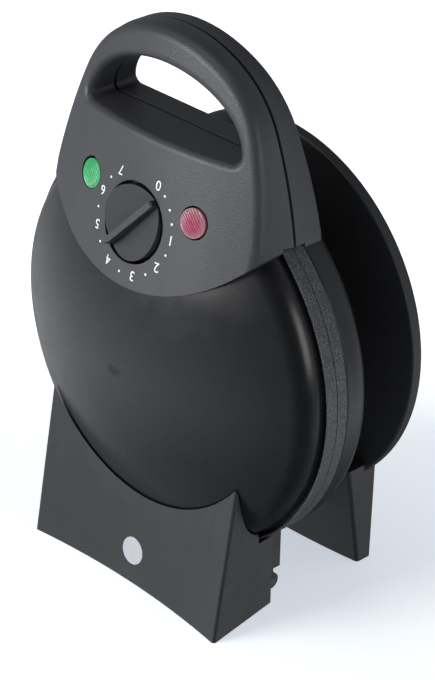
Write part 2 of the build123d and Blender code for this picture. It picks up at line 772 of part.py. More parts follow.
def front_foot_block(inset, top, heel):
    """The lid's foot; depths towards the lid are negative here."""
    levels = []
    for height in (inset, top):
        shift = FOOT_LEAN * height
        toe = -FOOT_TOE + shift + inset
        waist = -FOOT_WAIST + shift + inset
        levels.append((height, toe, waist, FOOT_TOE_HALF - inset, heel, heel, FOOT_HEEL_HALF - inset))
    return foot_block(levels)


foot_outer = front_foot_block(0.0, FOOT_TOP, FOOT_HEEL)
foot_inner = front_foot_block(FOOT_WALL, FOOT_TOP - 20, FOOT_HEEL + 5)
dome_gap = dome_core(FRONT, LID_DOME, 0, grow=FOOT_CLEARANCE)
dome_gap_wall = dome_core(FRONT, LID_DOME, 0, grow=FOOT_CLEARANCE + FOOT_WALL)
foot_rim_space = drum(FRONT, PLATE_RADIUS + RIM_CLEARANCE, -2 * RIM_DEPTH, RIM_DEPTH + 0.8)
foot_rim_wall = drum(FRONT, PLATE_RADIUS + RIM_CLEARANCE + FOOT_WALL, -2 * RIM_DEPTH, RIM_DEPTH + FOOT_WALL)
BADGE = Plane(
    origin=(0, SPLIT_Y - FOOT_WAIST + FOOT_LEAN * BADGE_HEIGHT, BADGE_HEIGHT),
    x_dir=(1, 0, 0),
    z_dir=(0, -1, FOOT_LEAN),
)

with BuildPart() as front_foot:
    add(foot_outer)
    uprights = front_foot.edges().filter_by(lambda edge: abs(edge.tangent_at(0.5).Z) > 0.9)
    fillet(uprights.sort_by(Axis.Y)[:2], FOOT_ROUND)
    add(dome_gap, mode=Mode.SUBTRACT)
    add(foot_rim_space, mode=Mode.SUBTRACT)
    add(foot_inner - dome_gap_wall - foot_rim_wall, mode=Mode.SUBTRACT)
    with BuildSketch(BADGE.offset(-BADGE_THICKNESS + BADGE_PROUD)):
        Circle(BADGE_RADIUS + 0.15)
    extrude(amount=5, mode=Mode.SUBTRACT)
    with BuildSketch(Plane.XY):
        with Locations(*FOOT_SCREWS):
            Circle(SCREW_RADIUS)
    extrude(amount=FOOT_WALL, mode=Mode.SUBTRACT)
save(front_foot.part, "front_foot")

with BuildPart() as badge:
    with BuildSketch(BADGE.offset(-BADGE_THICKNESS + BADGE_PROUD)):
        Circle(BADGE_RADIUS)
    extrude(amount=BADGE_THICKNESS)
    fillet(badge.edges().filter_by(GeomType.CIRCLE).sort_by(Axis.Y)[0], BADGE_PROUD)
save(badge.part, "badge")


# ---- lid hinge: arms on the lid's foot, ears under the base cover, one pin
HINGE_Y = SPLIT_Y + HINGE_DEPTH


def hinge_plates(x_near, x_far, web, bore):
    """Two mirrored plates across X: a barrel joined to a web outline given in Y and Z."""
    with BuildPart() as plates:
        for x in (x_near, -x_far):
            with BuildSketch(Plane.YZ.offset(x)):
                with BuildLine():
                    Polyline(*web, close=True)
                make_face()
                with Locations((HINGE_Y, HINGE_HEIGHT)):
                    Circle(BARREL_RADIUS)
                    Circle(bore, mode=Mode.SUBTRACT)
            extrude(amount=x_far - x_near)
    return plates.part


arm_web = [
    (HINGE_Y, FOOT_WALL),
    (SPLIT_Y - ARM_REACH, FOOT_WALL),
    (SPLIT_Y - ARM_REACH, ARM_TOP),
    (HINGE_Y, ARM_TOP),
]
with BuildPart() as lid_hinge:
    with BuildSketch(Plane.YZ.offset(-ARM_OUTER)):
        with BuildLine():
            Polyline(
                (SPLIT_Y - ARM_REACH, FOOT_WALL),
                (SPLIT_Y - ARM_REACH + 8, FOOT_WALL),
                (SPLIT_Y - ARM_REACH + 8, ARM_TOP),
                (SPLIT_Y - ARM_REACH, ARM_TOP),
                close=True,
            )
        make_face()
    extrude(amount=2 * ARM_OUTER)
    add(hinge_plates(ARM_INNER, ARM_OUTER, arm_web, PIN_BORE))
    with BuildSketch(Plane.YZ.offset(-ARM_OUTER)):
        with Locations((HINGE_Y, HINGE_HEIGHT)):
            Circle(PIN_BORE)
    extrude(amount=2 * ARM_OUTER, mode=Mode.SUBTRACT)
    with BuildSketch(Plane.XY.offset(FOOT_WALL)):
        with Locations(*FOOT_SCREWS):
            Circle(SCREW_RADIUS)
    extrude(amount=ARM_TOP, mode=Mode.SUBTRACT)
save(lid_hinge.part, "lid_hinge")
save(screws(Plane.XY.offset(ARM_TOP + HEAD_HEIGHT), FOOT_SCREWS, ARM_TOP + HEAD_HEIGHT - 1), "hinge_screws")

ear_web = [
    (SPLIT_Y + BRACKET_NEAR, BRACKET_BOTTOM + 1),
    (SPLIT_Y + BRACKET_NEAR, HINGE_HEIGHT + 3),
    (HINGE_Y - 3, HINGE_HEIGHT),
    (HINGE_Y + 1, HINGE_HEIGHT + 3),
    (HINGE_Y + 1, BRACKET_BOTTOM + 1),
]
with BuildPart() as hinge_bracket:
    with BuildSketch(Plane.XY.offset(BRACKET_BOTTOM)):
        with Locations((0, SPLIT_Y + (BRACKET_NEAR + BRACKET_FAR) / 2)):
            Rectangle(2 * BRACKET_HALF, BRACKET_FAR - BRACKET_NEAR)
    extrude(amount=25)
    with BuildSketch(Plane.XY.offset(BRACKET_BOTTOM + FOOT_WALL)):
        with Locations((0, SPLIT_Y + (BRACKET_NEAR + BRACKET_FAR) / 2)):
            Rectangle(2 * (BRACKET_HALF - FOOT_WALL), BRACKET_FAR - BRACKET_NEAR - 2 * FOOT_WALL)
    extrude(amount=25, mode=Mode.SUBTRACT)
    add(base_dome_solid, mode=Mode.SUBTRACT)
    add(hinge_plates(EAR_INNER, BRACKET_HALF, ear_web, PIN_RADIUS))
save(hinge_bracket.part, "hinge_bracket")

with BuildPart() as hinge_pin:
    with BuildSketch(Plane.YZ.offset(-BRACKET_HALF - 0.5)):
        with Locations((HINGE_Y, HINGE_HEIGHT)):
            Circle(PIN_RADIUS)
    extrude(amount=2 * BRACKET_HALF + 1)
save(hinge_pin.part, "hinge_pin")


# ---- base cover, its cord gland, and the parts wired behind the lower heat shield
GLAND_Y = SPLIT_Y + GLAND_DEPTH
base_dome_inside = dome_core(BACK, BASE_DOME, 0, grow=-WALL)
with BuildPart() as base_cover:
    add(base_dome_solid)
    add(base_dome_inside, mode=Mode.SUBTRACT)
    with BuildSketch(BACK):
        Circle(PLATE_RADIUS)
    extrude(amount=RIM_DEPTH, mode=Mode.SUBTRACT)
    with BuildSketch(Plane.XY.offset(GLAND_BOTTOM)):
        with Locations((0, GLAND_Y)):
            Circle(GLAND_RADIUS)
    extrude(amount=GLAND_LENGTH, mode=Mode.SUBTRACT)
save(base_cover.part, "base_cover")

with BuildPart() as cord_gland:
    with BuildSketch(Plane.XY.offset(GLAND_BOTTOM)):
        with Locations((0, GLAND_Y)):
            Circle(GLAND_RADIUS)
    extrude(amount=GLAND_LENGTH)
    with BuildSketch(Plane.XY.offset(GLAND_BOTTOM)):
        with Locations((0, GLAND_Y)):
            Circle(GLAND_COLLAR)
    extrude(amount=3)
    with BuildSketch(Plane.XY.offset(GLAND_BOTTOM)):
        with Locations((0, GLAND_Y)):
            Circle(CORD_BORE)
    extrude(amount=GLAND_LENGTH, mode=Mode.SUBTRACT)
save(cord_gland.part, "cord_gland")

block_depth = BASE_SHIELD_DEPTH + SHEET
with BuildPart() as terminal_block:
    with BuildSketch(BACK.offset(block_depth)):
        with Locations((0, TERMINAL_BLOCK_Y)):
            RectangleRounded(*TERMINAL_BLOCK_SIZE[:2], 1.5)
    extrude(amount=TERMINAL_BLOCK_SIZE[2])
    with BuildSketch(BACK.offset(block_depth + TERMINAL_BLOCK_SIZE[2])):
        with Locations((0, TERMINAL_BLOCK_Y)):
            with GridLocations(TERMINAL_BLOCK_SIZE[0] / 3, TERMINAL_BLOCK_SIZE[1] / 2, 3, 2):
                Circle(SCREW_RADIUS + 0.5)
    extrude(amount=-TERMINAL_BLOCK_SIZE[2] / 2, mode=Mode.SUBTRACT)
save(terminal_block.part, "terminal_block")

with BuildPart() as thermal_fuse:
    fuse_centre = BACK.from_local_coords((0, FUSE_Y, block_depth + FUSE_RADIUS))
    with BuildSketch(Plane(origin=fuse_centre, z_dir=(1, 0, 0))):
        Circle(FUSE_RADIUS)
    extrude(amount=FUSE_LENGTH / 2, both=True)
save(thermal_fuse.part, "thermal_fuse")


# ---- sleeved leads between the heaters, the thermostat and the terminal block
def leads(side, routes):
    """A group of leads; each route is three or four points as x, y and depth."""
    with BuildPart() as group:
        for route in routes:
            with BuildLine() as line:
                Spline(*[side.from_local_coords(point) for point in route])
            start = Plane(origin=line.line @ 0, z_dir=line.line % 0)
            with BuildSketch(start):
                Circle(LEAD_RADIUS)
            sweep(path=line.line)
    return group.part


lid_routes = [
    ((28.6, 53.7, 25.6), (18.0, 52.0, 25.9), (8.1, 55.4, 25.6)),
    ((-28.6, 53.7, 25.6), (-14.0, 52.0, 25.9), (-2.1, 55.4, 25.6)),
]
save(leads(FRONT, lid_routes), "lid_wires")
base_routes = []
for hand in (1, -1):
    base_routes.append(
        (
            (31.0 * hand, -53.7, 26.7),
            (29.5 * hand, -52.5, 30.5),
            (25.0 * hand, -49.0, 32.0),
            (20.7 * hand, -46.0, 32.0),
        )
    )
    base_routes.append(
        (
            (1.6 * hand, -81.4, 29.0),
            (2.5 * hand, -72.0, 30.0),
            (6.0 * hand, -60.0, 32.0),
            (8.0 * hand, -53.6, 32.5),
        )
    )
save(leads(BACK, base_routes), "base_wires")


# ---- column, base disc, rear foot and pads
disc_back = DISC_FRONT + DISC_THICKNESS
with BuildPart() as base_column:
    with BuildSketch(BACK.offset(COLUMN_NEAR)):
        Circle(COLUMN_RADIUS)
        Circle(COLUMN_RADIUS - FOOT_WALL - 1, mode=Mode.SUBTRACT)
        with PolarLocations(COLUMN_SCREW_CIRCLE, 4, start_angle=45):
            Circle(COLUMN_BOSS)
    extrude(amount=DISC_FRONT - COLUMN_NEAR)
    add(base_dome_solid, mode=Mode.SUBTRACT)
    with BuildSketch(BACK.offset(COLUMN_NEAR)):
        with PolarLocations(COLUMN_SCREW_CIRCLE, 4, start_angle=45):
            Circle(SCREW_RADIUS)
    extrude(amount=DISC_FRONT - COLUMN_NEAR, mode=Mode.SUBTRACT)
save(base_column.part, "base_column")

with BuildPart() as base_disc:
    with BuildSketch(BACK.offset(DISC_FRONT)):
        Circle(DISC_RADIUS)
    extrude(amount=DISC_THICKNESS)
    rims = base_disc.edges().filter_by(GeomType.CIRCLE)
    fillet(rims, DISC_ROUND)
    with BuildSketch(BACK.offset(DISC_FRONT + WALL)):
        Circle(DISC_RADIUS - WALL)
        for radius in DISC_RINGS:
            Circle(radius + RIB / 2, mode=Mode.SUBTRACT)
            Circle(radius - RIB / 2)
        with PolarLocations(0, DISC_SPOKES):
            Rectangle(2 * DISC_RADIUS, RIB, mode=Mode.SUBTRACT)
        Circle(COLUMN_RADIUS, mode=Mode.SUBTRACT)
    extrude(amount=DISC_THICKNESS, mode=Mode.SUBTRACT)
    with BuildSketch(BACK.offset(DISC_FRONT + WALL)):
        with Locations(*PILLARS):
            Circle(PILLAR_RADIUS)
    extrude(amount=BACK_REACH - PAD_THICKNESS - DISC_FRONT - WALL)
    with BuildSketch(BACK.offset(DISC_FRONT + WALL)):
        with Locations(*BF_SCREWS):
            Circle(COLUMN_BOSS)
            Circle(SCREW_RADIUS, mode=Mode.SUBTRACT)
    extrude(amount=DISC_THICKNESS - WALL)
    with BuildSketch(BACK.offset(DISC_FRONT)):
        with PolarLocations(COLUMN_SCREW_CIRCLE, 4, start_angle=45):
            Circle(SCREW_RADIUS)
    extrude(amount=DISC_THICKNESS, mode=Mode.SUBTRACT)
save(base_disc.part, "base_disc")

turns = [radians(45 + 90 * i) for i in range(4)]
column_places = [(COLUMN_SCREW_CIRCLE * cos(turn), COLUMN_SCREW_CIRCLE * sin(turn)) for turn in turns]
save(screws(BACK.offset(disc_back + HEAD_HEIGHT), column_places, SCREW_LENGTH + 4), "base_screws")


back_foot_outer = foot_block(
    [
        (0, BF_TOE, BF_TOE_MID, BF_HALF, BF_HEEL, BF_HEEL_MID, BF_HALF),
        (BF_TOP, BF_TOP_TOE, BF_TOP_TOE, BF_TOP_HALF, BF_TOP_HEEL, BF_TOP_HEEL, BF_TOP_HALF),
    ]
)
hollow_share = BF_HOLLOW_TOP / BF_TOP
hollow_toe = BF_TOE + (BF_TOP_TOE - BF_TOE) * hollow_share + WALL
hollow_heel = DISC_FRONT - WALL
hollow_half = BF_HALF + (BF_TOP_HALF - BF_HALF) * hollow_share - WALL
floor_half = BF_HALF - WALL
back_foot_inner = foot_block(
    [
        (0, BF_TOE + WALL, BF_TOE_MID + WALL, floor_half, BF_HEEL - WALL, BF_HEEL_MID - WALL, floor_half),
        (BF_HOLLOW_TOP, hollow_toe, hollow_toe, hollow_half, hollow_heel, hollow_heel, hollow_half),
    ]
)
disc_room = drum(BACK, DISC_RADIUS + FACE_GAP / 2, DISC_FRONT, disc_back + FACE_GAP / 2)
with BuildPart() as back_foot:
    add(back_foot_outer)
    uprights = back_foot.edges().filter_by(lambda edge: abs(edge.tangent_at(0.5).Z) > 0.9)
    fillet(uprights, BF_ROUND)
    add(disc_room, mode=Mode.SUBTRACT)
    add(back_foot_inner, mode=Mode.SUBTRACT)
    with BuildSketch(BACK.offset(BF_PAD_SEAT)):
        with Locations(*BF_PADS):
            Circle(PAD_RADIUS + 0.1)
    extrude(amount=2 * PAD_RADIUS, mode=Mode.SUBTRACT)
    with BuildSketch(BACK.offset(BF_SCREW_SEAT)):
        with Locations(*BF_SCREWS):
            Circle(SCREW_HEAD + 0.3)
    extrude(amount=2 * PAD_RADIUS, mode=Mode.SUBTRACT)
    with BuildSketch(BACK.offset(DISC_FRONT)):
        with Locations(*BF_SCREWS):
            Circle(SCREW_RADIUS)
    extrude(amount=2 * PAD_RADIUS, mode=Mode.SUBTRACT)
save(back_foot.part, "back_foot")
save(screws(BACK.offset(BF_SCREW_SEAT + HEAD_HEIGHT), BF_SCREWS, BF_SCREW_LENGTH), "back_foot_screws")

with BuildPart() as foot_pads:
    with BuildSketch(BACK.offset(BF_PAD_SEAT)):
        with Locations(*BF_PADS):
            Circle(PAD_RADIUS)
    extrude(amount=BACK_REACH - BF_PAD_SEAT)
    with BuildSketch(BACK.offset(BACK_REACH - PAD_THICKNESS)):
        with Locations(*PILLARS):
            Circle(PAD_RADIUS)
    extrude(amount=PAD_THICKNESS)
save(foot_pads.part, "foot_pads")
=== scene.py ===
import json
import math

import bmesh
import bpy
from mathutils import Matrix, Vector


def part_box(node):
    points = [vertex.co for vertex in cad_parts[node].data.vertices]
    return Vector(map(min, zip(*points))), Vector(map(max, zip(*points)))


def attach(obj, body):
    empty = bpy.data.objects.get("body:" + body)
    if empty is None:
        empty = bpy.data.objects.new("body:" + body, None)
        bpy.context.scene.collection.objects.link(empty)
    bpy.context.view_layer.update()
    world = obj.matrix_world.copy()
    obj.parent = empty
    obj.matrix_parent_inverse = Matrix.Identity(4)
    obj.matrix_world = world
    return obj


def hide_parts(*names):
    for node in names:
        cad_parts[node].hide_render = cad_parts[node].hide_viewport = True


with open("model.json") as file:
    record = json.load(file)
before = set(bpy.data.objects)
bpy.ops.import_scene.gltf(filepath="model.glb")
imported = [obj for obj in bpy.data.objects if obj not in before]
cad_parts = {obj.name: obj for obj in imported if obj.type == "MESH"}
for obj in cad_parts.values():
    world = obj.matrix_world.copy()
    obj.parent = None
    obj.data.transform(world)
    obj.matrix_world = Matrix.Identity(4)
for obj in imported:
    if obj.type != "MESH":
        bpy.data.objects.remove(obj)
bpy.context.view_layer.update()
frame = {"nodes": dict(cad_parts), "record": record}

# ---- where things are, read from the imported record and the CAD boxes
joints = {joint["name"]: joint for joint in frame["record"]["behaviour"]["joints"]}
dial_centre = Vector(joints["knob_turn"]["pos_m"])
dial_out = Vector(joints["knob_turn"]["axis"]).normalized()
dial_right = Vector((1, 0, 0))
dial_up = dial_out.cross(dial_right)
panel_curve = 0.224  # radius of the control face's bow, as in part.py
PLATE_GAP = 0.0002  # half the gap between the two plates
split_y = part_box("upper_plate")[1][1] + PLATE_GAP
axis_height = (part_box("lower_plate")[0][2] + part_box("lower_plate")[1][2]) / 2


# ---- materials
# Sockets of a Mix node that mixes colours; their names are shared with its other data types.
MIX_FIRST, MIX_SECOND, MIX_OUT = 6, 7, 2


def links_of(name):
    material = bpy.data.materials.new(name)
    material.use_nodes = True
    nodes, links = material.node_tree.nodes, material.node_tree.links
    shader = nodes["Principled BSDF"]
    place = nodes.new("ShaderNodeTexCoord").outputs["Object"]
    return material, nodes, links, shader, place


def noise(nodes, links, place, scale, detail=2.0, rough=0.5, stretch=None):
    texture = nodes.new("ShaderNodeTexNoise")
    texture.inputs["Scale"].default_value = scale
    texture.inputs["Detail"].default_value = detail
    texture.inputs["Roughness"].default_value = rough
    if stretch:
        mapping = nodes.new("ShaderNodeMapping")
        mapping.inputs["Scale"].default_value = stretch
        links.new(place, mapping.inputs["Vector"])
        place = mapping.outputs["Vector"]
    links.new(place, texture.inputs["Vector"])
    return texture.outputs["Fac"]


def ramp(nodes, links, source, stops):
    node = nodes.new("ShaderNodeValToRGB")
    while len(node.color_ramp.elements) < len(stops):
        node.color_ramp.elements.new(0.5)
    for element, (where, colour) in zip(node.color_ramp.elements, stops):
        element.position = where
        element.color = (*colour, 1)
    links.new(source, node.inputs["Fac"])
    return node.outputs["Color"]


def spread(nodes, links, source, low, high, start=0.3, stop=0.7):
    node = nodes.new("ShaderNodeMapRange")
    node.inputs["From Min"].default_value = start
    node.inputs["From Max"].default_value = stop
    node.inputs["To Min"].default_value = low
    node.inputs["To Max"].default_value = high
    links.new(source, node.inputs["Value"])
    return node.outputs["Result"]


def bump(nodes, links, height, depth, normal=None):
    node = nodes.new("ShaderNodeBump")
    node.inputs["Strength"].default_value = 1.0
    node.inputs["Distance"].default_value = depth
    links.new(height, node.inputs["Height"])
    if normal:
        links.new(normal, node.inputs["Normal"])
    return node.outputs["Normal"]


def mixed(nodes, links, share, first, second):
    """First colour blended into a constant second one, as share goes from 0 to 1."""
    mix = nodes.new("ShaderNodeMix")
    mix.data_type = "RGBA"
    links.new(share, mix.inputs["Factor"])
    links.new(first, mix.inputs[MIX_FIRST])
    mix.inputs[MIX_SECOND].default_value = (*second, 1)
    return mix.outputs[MIX_OUT]


def scaled(colour, factor):
    return tuple(min(1.0, channel * factor) for channel in colour)


def moulded(name, colour, rough, grain, depth, edge_lift=1.6, variation=0.12, soften=0.0):
    """Moulded plastic: fine spark-eroded grain, soft blotches, paler colour on sharp edges."""
    material, nodes, links, shader, place = links_of(name)
    blotch = noise(nodes, links, place, 28, 3)
    stops = [(0.3, scaled(colour, 1 - variation)), (0.7, scaled(colour, 1 + variation))]
    body = ramp(nodes, links, blotch, stops)
    if edge_lift > 1:
        # Paler colour where the mesh is sharply convex, along its edges.
        edge = nodes.new("ShaderNodeNewGeometry").outputs["Pointiness"]
        sharp_edges = ramp(nodes, links, edge, [(0.53, (0, 0, 0)), (0.62, (1, 1, 1))])
        body = mixed(nodes, links, sharp_edges, body, scaled(colour, edge_lift))
    links.new(body, shader.inputs["Base Color"])
    smear = noise(nodes, links, place, 60, 4, 0.6)
    links.new(spread(nodes, links, smear, rough - 0.05, rough + 0.05), shader.inputs["Roughness"])
    fine = noise(nodes, links, place, grain, 2)
    even = None
    if soften:
        smooth = nodes.new("ShaderNodeBevel")
        smooth.samples = 8
        smooth.inputs["Radius"].default_value = soften
        even = smooth.outputs["Normal"]
    wave = bump(nodes, links, noise(nodes, links, place, 22, 1), 0.00006, even)
    links.new(bump(nodes, links, fine, depth, wave), shader.inputs["Normal"])
    return material


def nonstick(name):
    """Dark coating with pale flecks over cast aluminium."""
    material, nodes, links, shader, place = links_of(name)
    cells = nodes.new("ShaderNodeTexVoronoi")
    cells.inputs["Scale"].default_value = 1500
    links.new(place, cells.inputs["Vector"])
    stops = [(0.10, (0.24, 0.25, 0.27)), (0.42, (0.040, 0.041, 0.045))]
    links.new(ramp(nodes, links, cells.outputs["Distance"], stops), shader.inputs["Base Color"])
    smear = noise(nodes, links, place, 90, 3)
    links.new(spread(nodes, links, smear, 0.36, 0.5), shader.inputs["Roughness"])
    fine = noise(nodes, links, place, 1500, 2)
    links.new(bump(nodes, links, fine, 0.00008), shader.inputs["Normal"])
    shader.inputs["Metallic"].default_value = 0.15
    return material


def worked_metal(name, colour, rough, stretch=(1, 1, 1), tint=None):
    """Plated or drawn metal with fine streaks; tint adds heat colours."""
    material, nodes, links, shader, place = links_of(name)
    streaks = noise(nodes, links, place, 400, 3, 0.6, stretch)
    stops = [(0.3, scaled(colour, 0.82)), (0.7, scaled(colour, 1.1))]
    if tint:
        stops.append((0.9, tint))
    links.new(ramp(nodes, links, streaks, stops), shader.inputs["Base Color"])
    links.new(spread(nodes, links, streaks, rough - 0.06, rough + 0.1), shader.inputs["Roughness"])
    links.new(bump(nodes, links, streaks, 0.00003), shader.inputs["Normal"])
    shader.inputs["Metallic"].default_value = 1.0
    return material


def clear_cap(name, colour, glow, rim_of=None):
    """Tinted translucent cap, slightly cloudy; rim_of is the node whose edge is paler."""
    material, nodes, links, shader, place = links_of(name)
    cloud = noise(nodes, links, place, 500, 2)
    stops = [(0.3, scaled(colour, 0.75)), (0.7, scaled(colour, 1.2))]
    tint = ramp(nodes, links, cloud, stops)
    if rim_of:
        low, high = (Vector(corner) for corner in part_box(rim_of))
        reach = nodes.new("ShaderNodeVectorMath")
        reach.operation = "DISTANCE"
        reach.inputs[1].default_value = (low + high) / 2
        links.new(place, reach.inputs[0])
        edge = spread(nodes, links, reach.outputs["Value"], 0.0, 0.85, 0.0048, 0.0078)
        tint = mixed(nodes, links, edge, tint, (0.34, 0.28, 0.30))
    links.new(tint, shader.inputs["Base Color"])
    smear = noise(nodes, links, place, 250, 2)
    links.new(spread(nodes, links, smear, 0.12, 0.24), shader.inputs["Roughness"])
    fine = noise(nodes, links, place, 700, 1)
    links.new(bump(nodes, links, fine, 0.00002), shader.inputs["Normal"])
    shader.inputs["Transmission Weight"].default_value = 0.25
    shader.inputs["IOR"].default_value = 1.5
    shader.inputs["Emission Color"].default_value = (*colour, 1)
    shader.inputs["Emission Strength"].default_value = glow
    return material


def printed(name, colour):
    """Pad-printed ink, slightly uneven."""
    material, nodes, links, shader, place = links_of(name)
    ink = noise(nodes, links, place, 900, 2)
    stops = [(0.3, scaled(colour, 0.85)), (0.7, colour)]
    links.new(ramp(nodes, links, ink, stops), shader.inputs["Base Color"])
    links.new(spread(nodes, links, ink, 0.5, 0.62), shader.inputs["Roughness"])
    return material


panel = moulded(
    "panel_plastic", (0.033, 0.034, 0.038), 0.44, 1500, 0.00011, edge_lift=1.3, variation=0.06
)
cover = moulded(
    "cover_plastic", (0.008, 0.0084, 0.0094), 0.26, 700, 0.000006,
    edge_lift=1.0, variation=0.06, soften=0.003,
)
foot = moulded(
    "foot_plastic", (0.018, 0.0185, 0.020), 0.46, 1500, 0.00011, edge_lift=1.3, variation=0.05
)
liner = moulded("liner_plastic", (0.012, 0.012, 0.013), 0.6, 900, 0.00005)
knob_skin = moulded(
    "knob_plastic", (0.017, 0.0175, 0.019), 0.40, 1600, 0.00006, edge_lift=1.5, variation=0.06
)
rubber = moulded("pad_rubber", (0.02, 0.02, 0.02), 0.75, 600, 0.00008)
cream = moulded("insulator_plastic", (0.62, 0.59, 0.5), 0.5, 700, 0.00004, edge_lift=1.05)
white = moulded(
    "badge_plastic", (0.46, 0.47, 0.50), 0.35, 600, 0.00001, edge_lift=1.05, variation=0.03
)
coating = nonstick("nonstick_aluminium")
element_metal = worked_metal(
    "element_steel", (0.34, 0.32, 0.30), 0.35, tint=(0.30, 0.20, 0.14)
)
sheet_metal = worked_metal("shield_steel", (0.62, 0.63, 0.65), 0.3, (1, 6, 1))
plated = worked_metal("fastener_steel", (0.09, 0.09, 0.095), 0.36)
green = clear_cap("green_cap", (0.05, 0.40, 0.15), 0.18)
red = clear_cap("red_cap", (0.46, 0.10, 0.17), 0.06, "red_lens")
bulb = clear_cap("lamp_glass", (0.8, 0.75, 0.7), 0.0)
ink = printed("dial_ink", (0.86, 0.88, 0.9))

finishes = {
    "panel_plastic": panel,
    "cover_plastic": cover,
    "foot_plastic": foot,
    "liner_plastic": liner,
    "nonstick_aluminium": coating,
    "element_steel": element_metal,
    "shield_steel": sheet_metal,
    "fastener_steel": plated,
    "knob_plastic": knob_skin,
    "green_cap": green,
    "red_cap": red,
    "lamp_glass": bulb,
    "badge_plastic": white,
    "pad_rubber": rubber,
    "insulator_plastic": cream,
}
for part in frame["record"]["subparts"]:
    node = frame["nodes"][part["node"]]
    finish = finishes.get(part["material_slot"], cream)
    for place in node.material_slots:
        place.link = "OBJECT"
        place.material = finish


# ---- pieces
def piece_from(name, mesh, material, body):
    thing = bpy.data.objects.new(name, mesh)
    bpy.context.scene.collection.objects.link(thing)
    mesh.materials.clear()
    mesh.materials.append(material)
    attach(thing, body)
    return thing


def on_panel(x, y, height=0.0):
    """A point on the bowed control face, x and y from the dial's centre."""
    sag = panel_curve - math.sqrt(panel_curve**2 - x * x)
    return dial_centre + dial_right * x + dial_up * y + dial_out * (height - sag)


INK_THICKNESS = 0.00010


def numeral(text, size):
    """Outline of a digit, thickened a little and centred on its own box, as a mesh."""
    curve = bpy.data.curves.new("digit", "FONT")
    curve.body = text
    curve.size = size
    curve.resolution_u = 6
    curve.extrude = INK_THICKNESS
    holder = bpy.data.objects.new("digit", curve)
    bpy.context.scene.collection.objects.link(holder)
    bpy.context.view_layer.update()
    graph = bpy.context.evaluated_depsgraph_get()
    mesh = bpy.data.meshes.new_from_object(holder.evaluated_get(graph))
    bpy.data.objects.remove(holder)
    bpy.data.curves.remove(curve)
    points = [vertex.co for vertex in mesh.vertices]
    low = Vector((min(p.x for p in points), min(p.y for p in points), 0))
    high = Vector((max(p.x for p in points), max(p.y for p in points), 0))
    mesh.transform(Matrix.Translation(-(low + high) / 2))
    return mesh


# Degrees about the dial's centre, anticlockwise from the right, for 0 to 7 and for the dots.
NUMBER_ANGLES = (61.6, -0.3, -37.0, -75.0, -116.0, -158.7, -197.3, -236.8)
DOT_ANGLES = (47.8, 32.3, 17.2, -18.0, -55.0, -95.5, -139.5, -177.8, -218.0)
MARK_CIRCLE = 0.0252
DIGIT_SIZE = 0.0068
DOT_RADIUS = 0.0006
DOT_TOP_RADIUS = 0.00058
INK_HEIGHT = 0.00006


def mark_place(angle):
    turn = math.radians(angle)
    return MARK_CIRCLE * math.cos(turn), MARK_CIRCLE * math.sin(turn)


marks = bmesh.new()
for value, angle in enumerate(NUMBER_ANGLES):
    digit = numeral(str(value), DIGIT_SIZE)
    x0, y0 = mark_place(angle)
    for vertex in digit.vertices:
        # turned half round: the dial reads upside down when the machine stands on end
        vertex.co = on_panel(x0 - vertex.co.x, y0 - vertex.co.y, INK_HEIGHT + vertex.co.z)
    marks.from_mesh(digit)
    bpy.data.meshes.remove(digit)
for angle in DOT_ANGLES:
    x0, y0 = mark_place(angle)
    made = bmesh.ops.create_cone(
        marks, cap_ends=True, segments=20,
        radius1=DOT_RADIUS, radius2=DOT_TOP_RADIUS, depth=2 * INK_THICKNESS,
    )
    for vertex in made["verts"]:
        vertex.co = on_panel(x0 + vertex.co.x, y0 + vertex.co.y, INK_HEIGHT + vertex.co.z)
bmesh.ops.recalc_face_normals(marks, faces=marks.faces)
mark_mesh = bpy.data.meshes.new("dial_marks")
marks.to_mesh(mark_mesh)
marks.free()
piece_from("dial_marks", mark_mesh, ink, "lid")


CAP_RADIUS = 0.0071
CAP_CROWN = 0.0007
RIB_PITCH = 0.0013
RIB_HEIGHT = 0.00055
CAP_BASE = 0.0001
CAP_ROLL, CAP_SKIRT = -0.0004, -0.0030
CAP_RINGS, CAP_SPOKES = 44, 176


